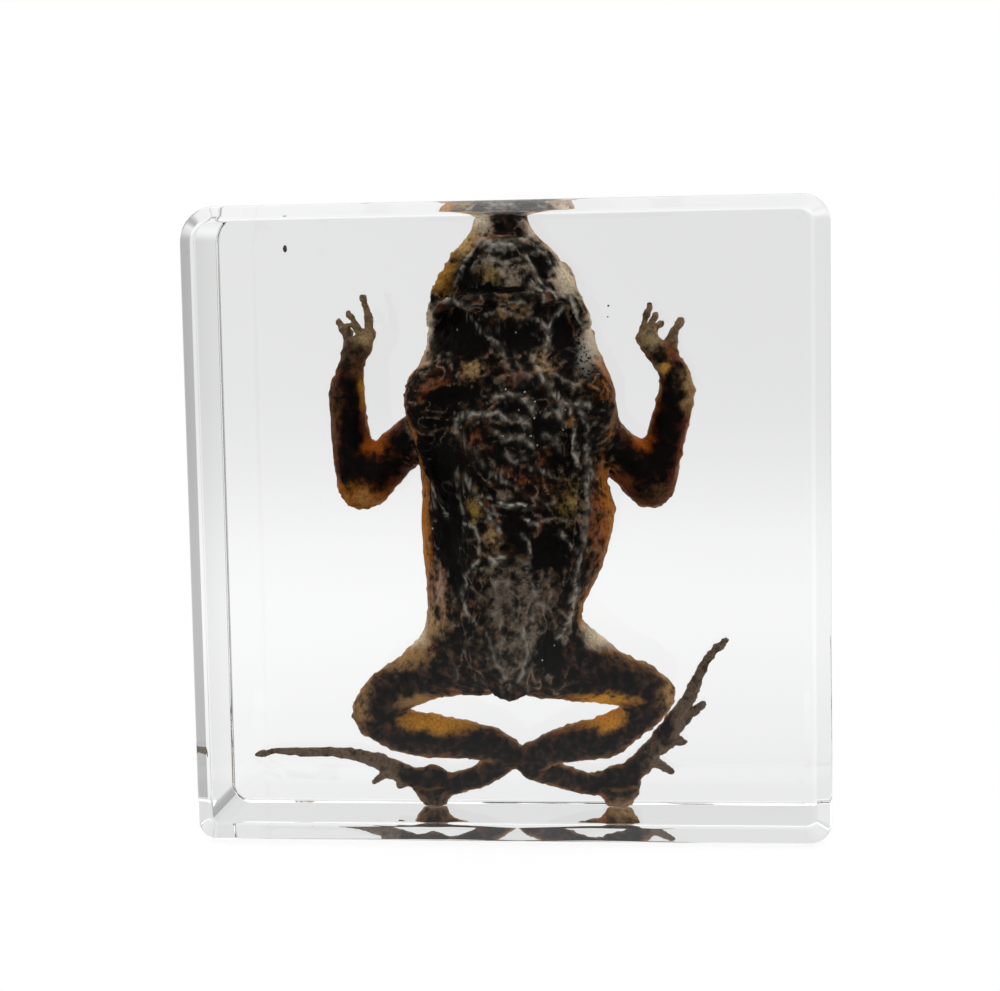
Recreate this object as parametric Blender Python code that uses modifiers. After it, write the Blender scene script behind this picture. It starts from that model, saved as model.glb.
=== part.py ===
"""A toad sealed in a square block of clear cast resin that stands on its bottom edge face.

The toad shows its belly to the front. The block is parted in two around a pocket of the toad's own shape.
Metres, +Z up, the front of the block towards -Y. The origin is the middle of the block's underside.
"""

import math
import random

import bmesh
import bpy
from mathutils import Matrix, Vector

MM = 0.001

# The block
BLOCK_WIDTH = 75 * MM
BLOCK_DEPTH = 33 * MM
BLOCK_HEIGHT = 75 * MM
TOP_LEFT_RADIUS = 4.2 * MM
TOP_RIGHT_RADIUS = 3.2 * MM
FOOT_LEFT_RADIUS = 2.4 * MM
FOOT_RIGHT_RADIUS = 2.6 * MM
CORNER_SEGMENTS = 7

# The sloped rims of the two large faces: how far back they start, and their left, right, lower, upper width
FRONT_SETBACK = 2.1 * MM
FRONT_WIDTHS = (2.0 * MM, 2.1 * MM, 2.5 * MM, 1.5 * MM)
BACK_SETBACK = 0.5 * MM
BACK_WIDTHS = (0.5 * MM, 0.5 * MM, 0.5 * MM, 0.5 * MM)

# Where the block is parted, and the room around the toad
PARTING_Y = 2.0 * MM
PARTING_GAP = 0.3 * MM
POCKET_ROOM = 0.7 * MM
POCKET_LEAST_RADIUS = 1.2 * MM

# How fine the grown shapes are made
TOAD_VOXEL = 0.32 * MM
TOAD_TRIANGLES = 6400
POCKET_VOXEL = 0.6 * MM
POCKET_TRIANGLES = 1500
RING_POINTS = 24
BALL_SEGMENTS = 14

# Trunk and skull, from the snout down: height, middle in X, half width, front Y, back Y, in mm
TRUNK = (
    (74.0, -0.9, 2.9, 0.4, 2.8),
    (73.2, -0.9, 3.2, -0.3, 3.6),
    (71.6, -0.8, 3.5, -0.9, 4.3),
    (70.4, -0.7, 4.5, -1.3, 5.0),
    (68.9, -0.5, 6.1, -1.7, 5.6),
    (67.6, -0.6, 7.2, -1.9, 6.1),
    (65.2, -0.5, 8.3, -2.1, 6.7),
    (61.8, -0.3, 9.5, -2.9, 7.3),
    (58.0, 0.1, 10.1, -4.9, 7.7),
    (55.2, 0.2, 11.4, -5.9, 8.0),
    (52.4, 0.1, 12.4, -6.1, 8.3),
    (49.4, 0.5, 12.3, -6.3, 8.5),
    (45.5, 0.2, 11.4, -6.5, 8.7),
    (42.0, 0.15, 11.05, -6.7, 8.7),
    (38.4, 0.7, 11.7, -6.8, 8.7),
    (34.0, 0.2, 11.3, -6.7, 8.5),
    (30.2, -0.2, 10.4, -6.3, 8.1),
    (27.0, -1.1, 9.3, -6.0, 7.7),
    (23.5, -1.6, 9.4, -5.7, 7.3),
    (20.0, -0.6, 7.2, -5.3, 6.7),
    (17.4, -0.2, 6.0, -4.3, 5.7),
    (16.4, 0.0, 4.8, -2.1, 3.5),
)

# Lower jaw, in front of the skull and narrower, so that the upper lip shows as a rim around it
JAW = (
    (71.0, -0.3, 1.4, -2.5, -0.1),
    (70.2, -0.3, 3.2, -3.3, 0.5),
    (68.0, 0.0, 5.2, -4.2, 1.1),
    (65.0, 0.4, 6.4, -4.7, 1.5),
    (62.0, 0.3, 7.2, -5.1, 1.5),
    (59.0, 0.3, 7.6, -5.5, 1.5),
    (56.0, 0.2, 7.0, -5.5, 1.5),
)

# Limbs and digits, as runs of (X, Y, Z, radius) in mm
LIMBS = {
    "left arm": (
        (-7.5, 1.5, 48.5, 5.0),
        (-11.6, 2.1, 47.4, 2.7),
        (-15.1, 2.7, 44.4, 2.7),
        (-17.9, 3.1, 41.8, 3.3),
        (-18.5, 3.1, 41.3, 3.0),
        (-19.4, 2.8, 45.0, 2.6),
        (-19.8, 2.3, 48.6, 2.2),
        (-20.0, 1.9, 52.4, 2.2),
        (-19.3, 1.7, 56.2, 1.4),
        (-18.4, 1.6, 58.6, 1.7),
    ),
    "left longest finger": ((-17.5, 1.7, 59.4, 1.1), (-17.3, 1.9, 61.5, 0.7), (-17.9, 2.1, 64.2, 0.45)),
    "left second finger": ((-18.1, 1.1, 59.8, 0.8), (-18.3, 0.6, 61.1, 0.55), (-19.0, 0.2, 62.4, 0.45)),
    "left third finger": ((-19.2, 1.9, 59.6, 0.8), (-20.1, 2.1, 60.4, 0.55), (-21.0, 2.4, 61.3, 0.45)),
    "left thumb": ((-19.3, 2.5, 58.6, 0.8), (-19.7, 3.8, 59.3, 0.55), (-19.9, 5.0, 60.2, 0.45)),
    "right arm": (
        (8.0, 1.5, 48.0, 5.0),
        (12.0, 2.1, 45.8, 2.7),
        (14.7, 2.7, 43.2, 2.9),
        (16.5, 3.1, 41.3, 3.1),
        (17.8, 2.8, 44.6, 2.45),
        (18.9, 2.3, 48.6, 2.2),
        (19.9, 1.9, 52.2, 2.2),
        (19.5, 1.7, 55.2, 1.6),
        (17.4, 1.6, 57.4, 1.65),
        (16.4, 1.6, 58.6, 1.4),
    ),
    "right longest finger": ((16.3, 1.6, 58.8, 0.9), (16.3, 1.8, 60.6, 0.6), (16.9, 2.1, 62.6, 0.45)),
    "right second finger": ((16.9, 1.1, 59.4, 0.7), (17.2, 0.7, 60.6, 0.55), (17.5, 0.5, 61.5, 0.5)),
    "right third finger": ((16.9, 2.1, 58.8, 0.6), (17.6, 2.4, 60.0, 0.5), (18.3, 2.7, 60.8, 0.45)),
    "right thumb": ((19.4, 1.9, 56.4, 1.1), (19.2, 2.1, 58.6, 0.7), (20.4, 2.3, 60.8, 0.5)),
    "left thigh": (
        (-4.6, 1.1, 21.4, 5.8),
        (-8.6, 1.7, 19.8, 4.4),
        (-12.6, 2.5, 17.6, 3.2),
        (-16.1, 3.1, 15.6, 2.9),
        (-17.8, 3.7, 13.5, 2.7),
    ),
    "left shank": (
        (-17.6, 3.7, 12.6, 2.7),
        (-14.4, 4.5, 10.8, 2.7),
        (-10.8, 5.3, 10.0, 2.8),
        (-7.0, 6.5, 9.5, 2.4),
        (-3.5, 7.9, 8.7, 2.1),
        (-1.9, 8.8, 7.6, 1.9),
    ),
    "left tarsus": (
        (-1.9, 9.3, 7.0, 1.8),
        (-4.6, 11.0, 4.4, 1.5),
        (-8.3, 12.8, 3.0, 1.4),
        (-11.5, 13.6, 2.7, 1.4),
        (-15.1, 13.6, 3.9, 1.3),
        (-17.8, 13.7, 5.4, 1.1),
    ),
    "left longest toe": (
        (-17.8, 13.7, 5.4, 1.1),
        (-20.8, 13.8, 6.4, 0.8),
        (-24.4, 13.9, 6.8, 0.7),
        (-28.6, 13.9, 6.7, 0.6),
        (-32.1, 13.9, 6.9, 0.5),
        (-34.3, 13.9, 6.3, 0.45),
    ),
    "left second toe": ((-16.7, 14.0, 4.5, 0.9), (-18.2, 14.3, 3.7, 0.55), (-19.2, 14.3, 2.6, 0.45)),
    "left third toe": ((-14.3, 14.0, 3.5, 0.9), (-15.4, 14.3, 2.7, 0.55), (-16.0, 14.3, 1.9, 0.45)),
    "left heel": ((-11.4, 13.5, 3.4, 1.9), (-11.0, 13.9, 2.4, 1.2)),
    "right thigh": (
        (3.8, 1.1, 21.0, 5.8),
        (8.0, 1.7, 19.2, 4.5),
        (11.8, 2.5, 17.5, 3.2),
        (14.9, 3.1, 16.7, 2.8),
        (16.8, 3.7, 15.5, 2.5),
    ),
    "right shank": (
        (16.6, 3.7, 14.4, 2.2),
        (14.0, 4.5, 12.2, 2.2),
        (10.6, 5.3, 9.9, 2.6),
        (7.0, 6.5, 9.2, 2.4),
        (3.2, 7.9, 8.0, 1.9),
        (1.3, 8.8, 6.7, 1.9),
    ),
    "right tarsus": (
        (1.3, 9.3, 5.7, 1.8),
        (4.9, 11.4, 4.1, 1.5),
        (8.5, 13.1, 2.8, 1.4),
        (11.3, 13.6, 2.8, 1.5),
        (13.7, 13.6, 4.5, 1.5),
        (16.1, 13.7, 7.0, 1.4),
        (18.7, 13.8, 9.5, 1.2),
    ),
    "right longest toe": (
        (18.5, 13.8, 9.7, 1.2),
        (20.6, 13.9, 12.8, 0.9),
        (22.0, 14.0, 16.2, 0.7),
        (23.2, 14.0, 18.8, 0.55),
        (25.2, 14.0, 20.9, 0.45),
    ),
    "right second toe": ((18.7, 14.0, 9.3, 0.9), (20.6, 14.3, 11.2, 0.66), (22.3, 14.3, 12.8, 0.5)),
    "right third toe": ((17.7, 14.0, 8.3, 0.9), (19.1, 14.3, 8.5, 0.6), (20.6, 14.3, 9.4, 0.45)),
    "right fourth toe": ((15.9, 14.0, 6.7, 0.9), (17.1, 14.3, 6.1, 0.6), (18.3, 14.3, 6.4, 0.45)),
    "right heel": ((11.3, 13.5, 3.4, 1.9), (11.7, 13.9, 2.4, 1.2)),
}

# Swellings of the trunk and head, as (X, Y, Z) and the half sizes along X, Y and Z, in mm
SWELLINGS = {
    "left eye": ((-6.6, 4.9, 65.0), (2.3, 2.4, 2.6)),
    "right eye": ((6.0, 4.9, 65.4), (2.3, 2.4, 2.6)),
    "left gland": ((-7.6, 6.7, 57.0), (2.4, 1.9, 4.4)),
    "right gland": ((7.8, 6.7, 57.0), (2.4, 1.9, 4.4)),
    "left shoulder": ((-9.3, -1.3, 51.6), (3.5, 4.4, 4.8)),
    "right shoulder": ((9.6, -1.3, 51.0), (3.1, 4.4, 5.2)),
    "breast": ((1.0, -4.9, 46.0), (5.6, 2.4, 7.6)),
    "belly": ((0.2, -5.5, 34.5), (6.6, 2.2, 6.4)),
    "vent": ((-0.4, -4.7, 22.6), (4.4, 2.4, 7.0)),
}

# Folds of the dried skin, as runs of (X, Y, Z, radius) in mm
FOLDS = {
    "upper lip left": (
        (-3.5, -0.6, 72.6, 0.6),
        (-4.2, -0.9, 70.6, 0.6),
        (-6.2, -1.3, 68.4, 0.7),
        (-8.1, -1.5, 65.2, 0.8),
        (-9.2, -1.5, 61.0, 0.8),
    ),
    "upper lip right": (
        (1.8, -0.6, 72.6, 0.6),
        (2.6, -0.9, 70.8, 0.6),
        (5.1, -1.3, 68.4, 0.7),
        (7.3, -1.5, 65.2, 0.8),
        (9.2, -1.5, 60.6, 0.8),
    ),
    "throat": (
        (-8.8, -3.1, 61.2, 0.7),
        (-7.2, -4.5, 63.2, 0.7),
        (-3.2, -5.3, 63.6, 0.6),
        (0.2, -5.5, 63.8, 0.6),
        (4.0, -5.3, 63.4, 0.6),
        (7.6, -4.3, 63.6, 0.7),
        (9.4, -2.9, 60.4, 0.7),
    ),
    "left flank": ((-10.8, -2.1, 46.6, 0.6), (-9.2, -4.7, 42.8, 0.6), (-7.2, -6.1, 38.6, 0.5)),
    "right flank": (
        (8.4, -5.1, 50.0, 0.6),
        (7.8, -6.1, 44.0, 0.6),
        (7.4, -6.4, 38.0, 0.6),
        (6.4, -6.4, 30.0, 0.6),
    ),
    "left belly": (
        (-4.4, -6.9, 36.0, 0.6),
        (-3.2, -7.4, 32.0, 0.6),
        (-5.4, -6.4, 26.0, 0.7),
        (-4.0, -6.0, 20.0, 0.6),
    ),
    "backbone": ((0.0, 7.9, 58.0, 0.7), (0.2, 8.6, 48.0, 0.8), (0.3, 8.8, 38.0, 0.8), (-0.4, 8.0, 27.0, 0.8)),
}

# Warts of the back, in rows on both sides of the backbone
WART_ROWS = ((2.6, 0.75), (5.2, 0.95), (7.6, 0.8))
WART_STEP = 3.4
WART_TOP = 54.0
WART_FOOT = 24.0
WART_SHIFT = 0.7
WART_SINK = 0.15


def clear_scene():
    for obj in list(bpy.data.objects):
        bpy.data.objects.remove(obj, do_unlink=True)


def new_collection(name):
    collection = bpy.data.collections.new(name)
    bpy.context.scene.collection.children.link(collection)
    return collection


def new_material(name, color, roughness, transmission=0.0, ior=1.5):
    material = bpy.data.materials.new(name)
    material.use_nodes = True
    surface = material.node_tree.nodes["Principled BSDF"]
    surface.inputs["Base Color"].default_value = (*color, 1.0)
    surface.inputs["Roughness"].default_value = roughness
    surface.inputs["Metallic"].default_value = 0.0
    surface.inputs["Transmission Weight"].default_value = transmission
    surface.inputs["IOR"].default_value = ior
    return material


def object_from(bm, name, collection, material=None):
    mesh = bpy.data.meshes.new(name)
    bm.to_mesh(mesh)
    bm.free()
    obj = bpy.data.objects.new(name, mesh)
    collection.objects.link(obj)
    if material:
        mesh.materials.append(material)
    return obj


def add_ball(bm, centre, half_sizes):
    """An ellipsoid, in metres."""
    placing = Matrix.Translation(centre) @ Matrix.Diagonal((*half_sizes, 1.0))
    bmesh.ops.create_uvsphere(
        bm, u_segments=BALL_SEGMENTS, v_segments=BALL_SEGMENTS // 2, radius=1.0, matrix=placing
    )


def add_run(bm, points, room, least_radius):
    """Balls at a run's points, with a tapered length between each two. The points are in mm."""
    balls = []
    for x, y, z, radius in points:
        balls.append((Vector((x, y, z)) * MM, max(radius * MM + room, least_radius)))
    for centre, radius in balls:
        add_ball(bm, centre, (radius, radius, radius))
    for (start, start_radius), (end, end_radius) in zip(balls, balls[1:]):
        along = end - start
        placing = Matrix.Translation((start + end) / 2) @ along.to_track_quat("Z", "Y").to_matrix().to_4x4()
        bmesh.ops.create_cone(
            bm,
            cap_ends=True,
            segments=BALL_SEGMENTS,
            radius1=start_radius,
            radius2=end_radius,
            depth=along.length,
            matrix=placing,
        )


def add_loft(bm, sections, room):
    """A closed body through level oval sections, whose end sections are pushed out by the room."""
    last = len(sections) - 1
    rings = []
    for index, (z, x, half_width, front, back) in enumerate(sections):
        lift = room if index == 0 else -room if index == last else 0.0
        half_depth = (back - front) / 2 * MM + room
        placing = Matrix.Translation((x * MM, (front + back) / 2 * MM, z * MM + lift))
        placing @= Matrix.Diagonal((half_width * MM + room, half_depth, 1.0, 1.0))
        ring = bmesh.ops.create_circle(
            bm, cap_ends=index in (0, last), segments=RING_POINTS, radius=1.0, matrix=placing
        )
        rings.append(ring["verts"])
    for upper, lower in zip(rings, rings[1:]):
        edges = set()
        for vert in (*upper, *lower):
            edges.update(edge for edge in vert.link_edges if edge.other_vert(vert) in upper + lower)
        bmesh.ops.bridge_loops(bm, edges=list(edges))


def wart_places():
    """(centre in mm, radius in mm) of each wart, over the back's own curve."""
    chance = random.Random(11)
    for row, (side, radius) in enumerate(WART_ROWS):
        count = int((WART_TOP - WART_FOOT) / WART_STEP)
        for step in range(count):
            z = WART_TOP - step * WART_STEP - (row % 2) * WART_STEP / 2
            for sign in (-1, 1):
                x = sign * side + chance.uniform(-WART_SHIFT, WART_SHIFT)
                height = z + chance.uniform(-WART_SHIFT, WART_SHIFT)
                middle, half_width, front, back = trunk_at(height)
                across = min(abs(x - middle) / half_width, 0.95)
                y = (front + back) / 2 + (back - front) / 2 * math.sqrt(1 - across**2)
                yield (x, y - WART_SINK, height), radius * chance.uniform(0.8, 1.15)


def trunk_at(z):
    """The trunk's middle, half width, front and back at a height, all in mm."""
    for above, below in zip(TRUNK, TRUNK[1:]):
        if above[0] >= z >= below[0]:
            share = (above[0] - z) / (above[0] - below[0])
            return [high + (low - high) * share for high, low in zip(above[1:], below[1:])]
    raise ValueError("height outside the trunk")


def toad_forms(room=0.0, least_radius=0.0):
    """Every form of the toad as closed shells that overlap, each grown by the room."""
    bm = bmesh.new()
    add_loft(bm, TRUNK, room)
    add_loft(bm, JAW, room)
    for points in LIMBS.values():
        add_run(bm, points, room, least_radius)
    for centre, half_sizes in SWELLINGS.values():
        add_ball(bm, Vector(centre) * MM, [size * MM + room for size in half_sizes])
    for points in FOLDS.values():
        add_run(bm, points, room, least_radius)
    for centre, radius in wart_places():
        add_ball(bm, Vector(centre) * MM, [radius * MM + room] * 3)
    bmesh.ops.recalc_face_normals(bm, faces=bm.faces)
    return bm


def fuse(obj, voxel, triangles, rounds):
    """Joins overlapping shells in one closed skin, and thins it to a number of triangles."""
    remesh = obj.modifiers.new("Fuse", "REMESH")
    remesh.mode = "VOXEL"
    remesh.voxel_size = voxel
    smooth = obj.modifiers.new("Soften", "SMOOTH")
    smooth.factor = 0.5
    smooth.iterations = rounds
    graph = bpy.context.evaluated_depsgraph_get()
    fine = obj.evaluated_get(graph).to_mesh()
    fine.calc_loop_triangles()
    share = triangles / len(fine.loop_triangles)
    obj.evaluated_get(graph).to_mesh_clear()
    thin = obj.modifiers.new("Thin", "DECIMATE")
    thin.ratio = min(share, 1.0)
    thin.use_collapse_triangulate = True


def near_line(co, x, z):
    """Whether a point is on the line along Y through X and Z."""
    return abs(co.x - x) + abs(co.z - z) < MM / 100


def level_with(co, plane):
    return abs(co.y - plane) < MM / 100


def large_face(bm, plane):
    faces = [face for face in bm.faces if level_with(face.calc_center_median(), plane)]
    return max(faces, key=lambda face: face.calc_area())


def slope_rim(bm, side, setback, widths):
    """Slopes the rim of the front (-1) or back (1) face, by a width of its own on each of the four sides."""
    left, right, lower, upper = widths
    plane = side * BLOCK_DEPTH / 2
    start = min(widths)
    bmesh.ops.inset_region(bm, faces=[large_face(bm, plane)], thickness=start, use_even_offset=True)
    inner = set(large_face(bm, plane).verts)
    for vert in bm.verts:
        if vert not in inner and level_with(vert.co, plane):
            vert.co.y -= side * setback
    half = BLOCK_WIDTH / 2
    for vert in inner:
        across = (vert.co.x + half - start) / (BLOCK_WIDTH - 2 * start)
        up = (vert.co.z - start) / (BLOCK_HEIGHT - 2 * start)
        vert.co.x = -half + left + across * (BLOCK_WIDTH - left - right)
        vert.co.z = lower + up * (BLOCK_HEIGHT - lower - upper)


def block_shape():
    """The whole block: a box, each long corner rounded by its own radius, then the two large faces' rims."""
    bm = bmesh.new()
    sizes = Matrix.Diagonal((BLOCK_WIDTH, BLOCK_DEPTH, BLOCK_HEIGHT, 1.0))
    bmesh.ops.create_cube(bm, size=1.0, matrix=Matrix.Translation((0, 0, BLOCK_HEIGHT / 2)) @ sizes)
    side, top = BLOCK_WIDTH / 2, BLOCK_HEIGHT
    corners = (
        ((-side, top), TOP_LEFT_RADIUS),
        ((side, top), TOP_RIGHT_RADIUS),
        ((-side, 0), FOOT_LEFT_RADIUS),
        ((side, 0), FOOT_RIGHT_RADIUS),
    )
    for (x, z), radius in corners:
        corner = [edge for edge in bm.edges if all(near_line(vert.co, x, z) for vert in edge.verts)]
        bmesh.ops.bevel(
            bm,
            geom=corner,
            offset=radius,
            offset_type="OFFSET",
            segments=CORNER_SEGMENTS,
            profile=0.5,
            affect="EDGES",
            material=-1,
        )
    slope_rim(bm, -1, FRONT_SETBACK, FRONT_WIDTHS)
    slope_rim(bm, 1, BACK_SETBACK, BACK_WIDTHS)
    bmesh.ops.recalc_face_normals(bm, faces=bm.faces)
    return bm


def half_shape(side):
    """One half of the block, solid, closed at the parting plane. The side is -1 for the front half."""
    bm = block_shape()
    plane = PARTING_Y + side * PARTING_GAP / 2
    cut = bmesh.ops.bisect_plane(
        bm,
        geom=[*bm.verts, *bm.edges, *bm.faces],
        plane_co=(0, plane, 0),
        plane_no=(0, -side, 0),
        clear_outer=True,
    )
    rim = [item for item in cut["geom_cut"] if isinstance(item, bmesh.types.BMEdge)]
    bmesh.ops.contextual_create(bm, geom=rim)
    bmesh.ops.recalc_face_normals(bm, faces=bm.faces)
    return bm


def build():
    clear_scene()
    parts = new_collection("toad in resin block")
    cutters = new_collection("cutters")
    skin = new_material("dried toad skin", (0.075, 0.045, 0.028), 0.42)
    resin = new_material("clear resin", (0.97, 0.98, 0.97), 0.02, transmission=1.0, ior=1.5)

    toad = object_from(toad_forms(), "toad", parts, skin)
    fuse(toad, TOAD_VOXEL, TOAD_TRIANGLES, rounds=3)

    pocket = object_from(toad_forms(POCKET_ROOM, POCKET_LEAST_RADIUS), "pocket", cutters)
    fuse(pocket, POCKET_VOXEL, POCKET_TRIANGLES, rounds=2)
    pocket.hide_render = True
    pocket.display_type = "WIRE"

    for name, side in (("resin_front", -1), ("resin_back", 1)):
        half = object_from(half_shape(side), name, parts, resin)
        hollow = half.modifiers.new("Pocket", "BOOLEAN")
        hollow.operation = "DIFFERENCE"
        hollow.solver = "EXACT"
        hollow.object = pocket


build()
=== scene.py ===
"""The looks of a dried toad cast in a block of clear resin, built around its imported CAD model."""

import math

import bmesh
import bpy
import numpy as np
from mathutils import Matrix, Vector, noise


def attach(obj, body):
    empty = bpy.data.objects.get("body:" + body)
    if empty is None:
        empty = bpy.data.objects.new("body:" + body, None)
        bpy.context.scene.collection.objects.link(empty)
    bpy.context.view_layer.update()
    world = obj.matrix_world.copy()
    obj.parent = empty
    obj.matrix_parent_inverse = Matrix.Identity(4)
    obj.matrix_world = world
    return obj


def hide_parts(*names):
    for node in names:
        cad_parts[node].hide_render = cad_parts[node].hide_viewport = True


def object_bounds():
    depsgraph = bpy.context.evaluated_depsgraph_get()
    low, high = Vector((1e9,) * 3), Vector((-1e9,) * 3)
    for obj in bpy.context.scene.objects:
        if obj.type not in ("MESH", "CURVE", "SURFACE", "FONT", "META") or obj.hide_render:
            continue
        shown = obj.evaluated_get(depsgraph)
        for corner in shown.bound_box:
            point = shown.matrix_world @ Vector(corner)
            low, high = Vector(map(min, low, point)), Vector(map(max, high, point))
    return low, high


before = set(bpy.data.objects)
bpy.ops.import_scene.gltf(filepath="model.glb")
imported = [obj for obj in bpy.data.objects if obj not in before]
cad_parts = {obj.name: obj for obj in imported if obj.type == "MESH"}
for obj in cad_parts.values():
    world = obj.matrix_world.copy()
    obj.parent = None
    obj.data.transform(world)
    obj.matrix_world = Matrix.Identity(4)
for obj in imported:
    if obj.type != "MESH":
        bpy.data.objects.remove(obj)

cad_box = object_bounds()

# The toad
# A small dried toad, laid on its back in the mould, so that its dark belly faces the front of the block.
# Its skin has dried on the bones: leathery, black to amber, with thin threads and folds. Its tint also holds
# painted light: painted shade in the hollows, painted highlights on the threads, fold crests and leg tops, a
# painted silvery sheen, and a painted glow where light comes through thin edges. The shape starts as a copy
# of the CAD toad, made fine, wrinkled and tinted in code. Tables and places are in mm.
MM = 0.001
SKIN_VOXEL = 0.3 * MM
SKIN_WELD = 0.001 * MM
SKIN_SMOOTHING = 3
SKIN_KEPT = 0.6
SKIN_SEED = 4
FINE_FACING = 0.3
SKIN_FLOOR = 0.12
TRUNK_HALF_WIDTH = 13.0
TRUNK_FOOT = 15.0
TRUNK_TOP = 73.0
DIGIT_SIDES = 14


def piece_from(bm, name, material=None):
    """A piece in the scene with the mesh that was built."""
    mesh = bpy.data.meshes.new(name)
    bm.to_mesh(mesh)
    bm.free()
    piece = bpy.data.objects.new(name, mesh)
    bpy.context.scene.collection.objects.link(piece)
    if material:
        mesh.materials.append(material)
    return piece


def keep_modifiers(piece):
    """Writes the piece's modifiers into its mesh."""
    graph = bpy.context.evaluated_depsgraph_get()
    finished = bpy.data.meshes.new_from_object(piece.evaluated_get(graph))
    piece.modifiers.clear()
    piece.data = finished


def ramp(low, high, value):
    """Rises smoothly from 0 at low to 1 at high."""
    share = np.clip((value - low) / (high - low), 0.0, 1.0)
    return share * share * (3.0 - 2.0 * share)


def read_points(mesh, kind):
    """The places or normals of the mesh's points, one row each."""
    values = np.empty(len(mesh.vertices) * 3, np.float32)
    mesh.vertices.foreach_get(kind, values)
    return values.reshape(-1, 3).astype(float)


def write_points(mesh, places):
    """Moves the mesh's points to places in mm."""
    mesh.vertices.foreach_set("co", (places * MM).astype(np.float32).ravel())
    mesh.update()


copy = bmesh.new()
copy.from_mesh(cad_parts["toad"].data)
bmesh.ops.remove_doubles(copy, verts=copy.verts, dist=SKIN_WELD)
toad = piece_from(copy, "dried_toad")
rounded = toad.modifiers.new("Round the facets", "SUBSURF")
rounded.levels = rounded.render_levels = 1
keep_modifiers(toad)

# Where a hand or foot is cut off: a point, the way out, and the low and high corner of what is cut
HAND_ENDS = (
    ((-18.5, 1.7, 59.2), (0, 0, 1), (-23.0, -1.0, 57.6), (-15.0, 7.0, 68.0)),
    ((18.3, 1.6, 58.1), (0.7, 0, 0.7), (13.5, -1.0, 54.8), (24.0, 6.0, 66.0)),
    ((16.4, 1.6, 59.4), (0, 0, 1), (13.5, -1.0, 57.6), (19.0, 6.0, 66.0)),
    ((17.6, 14.0, 8.3), (0.66, 0, 0.75), (15.4, 11.0, 5.4), (28.0, 17.0, 24.0)),
    ((16.7, 14.0, 6.0), (1, 0, -0.2), (15.4, 11.0, 3.0), (20.0, 17.0, 8.4)),
)
# Thin digits with blunt tips, as runs of (X, Y, Z, radius)
DIGITS = {
    "left longest finger": (
        (-17.7, 1.7, 57.8, 0.90),
        (-17.1, 1.8, 59.4, 0.74),
        (-17.0, 1.9, 60.6, 0.58),
        (-17.2, 2.0, 61.9, 0.48),
        (-17.5, 2.1, 63.1, 0.42),
        (-17.8, 2.1, 64.1, 0.42),
    ),
    "left second finger": (
        (-17.9, 1.3, 58.6, 0.60),
        (-18.3, 1.0, 60.4, 0.42),
        (-18.8, 0.6, 61.5, 0.38),
        (-19.3, 0.4, 62.2, 0.42),
    ),
    "left third finger": (
        (-19.2, 1.9, 58.0, 0.80),
        (-19.8, 2.0, 59.6, 0.56),
        (-20.3, 2.2, 60.5, 0.42),
        (-20.8, 2.3, 61.1, 0.46),
    ),
    "left bent finger": ((-20.0, 2.1, 60.3, 0.36), (-19.3, 1.6, 60.9, 0.36), (-18.5, 1.0, 60.5, 0.36)),
    "left thumb": ((-19.2, 2.3, 57.8, 0.70), (-19.7, 3.8, 59.0, 0.50), (-19.9, 5.0, 60.0, 0.42)),
    "right longest finger": (
        (16.4, 1.6, 57.6, 0.90),
        (15.9, 1.7, 59.4, 0.50),
        (16.05, 1.9, 61.0, 0.40),
        (16.7, 2.1, 62.4, 0.40),
    ),
    "right second finger": ((16.7, 1.2, 58.4, 0.70), (16.75, 0.9, 60.0, 0.44), (17.3, 0.6, 61.3, 0.44)),
    "right third finger": ((16.8, 1.8, 58.4, 0.60), (17.1, 2.1, 59.8, 0.42), (18.0, 2.6, 60.4, 0.42)),
    "right thumb": (
        (19.3, 1.9, 55.4, 1.15),
        (19.1, 2.0, 57.2, 0.85),
        (19.3, 2.1, 58.6, 0.72),
        (19.6, 2.2, 59.6, 0.48),
        (20.4, 2.3, 60.6, 0.50),
    ),
    "right longest toe": (
        (17.4, 13.8, 8.8, 1.20),
        (19.4, 13.8, 11.8, 0.90),
        (20.9, 13.9, 14.0, 0.80),
        (21.7, 14.0, 16.0, 0.64),
        (22.8, 14.0, 18.1, 0.54),
        (24.2, 14.0, 20.0, 0.46),
        (25.4, 14.0, 20.9, 0.44),
    ),
    "right second toe": (
        (17.4, 14.0, 7.8, 1.00),
        (19.4, 14.2, 10.1, 0.66),
        (20.9, 14.3, 11.6, 0.48),
        (22.5, 14.3, 13.0, 0.46),
    ),
    "right third toe": ((17.0, 14.0, 7.4, 0.90), (18.8, 14.3, 8.3, 0.56), (20.1, 14.3, 8.1, 0.42)),
    "right fourth toe": ((15.6, 14.0, 6.0, 0.90), (17.3, 14.2, 5.1, 0.56), (18.5, 14.3, 4.4, 0.42)),
}
# The two heels that reach down to the resin's underside: upper and lower end, as (X, Y, Z, radius)
HEELS = (
    ((-11.4, 13.1, 2.9, 2.8), (-11.2, 13.8, 0.15, 1.4)),
    ((11.9, 13.1, 2.9, 2.9), (11.9, 13.8, 0.15, 1.4)),
)


def add_link(bm, start, end):
    """A round link between two (X, Y, Z, radius) points."""
    low_end, high_end = Vector(start[:3]) * MM, Vector(end[:3]) * MM
    turn = (high_end - low_end).to_track_quat("Z", "Y").to_matrix().to_4x4()
    bmesh.ops.create_cone(
        bm,
        cap_ends=True,
        segments=DIGIT_SIDES,
        radius1=start[3] * MM,
        radius2=end[3] * MM,
        depth=(high_end - low_end).length,
        matrix=Matrix.Translation((low_end + high_end) / 2) @ turn,
    )


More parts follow.
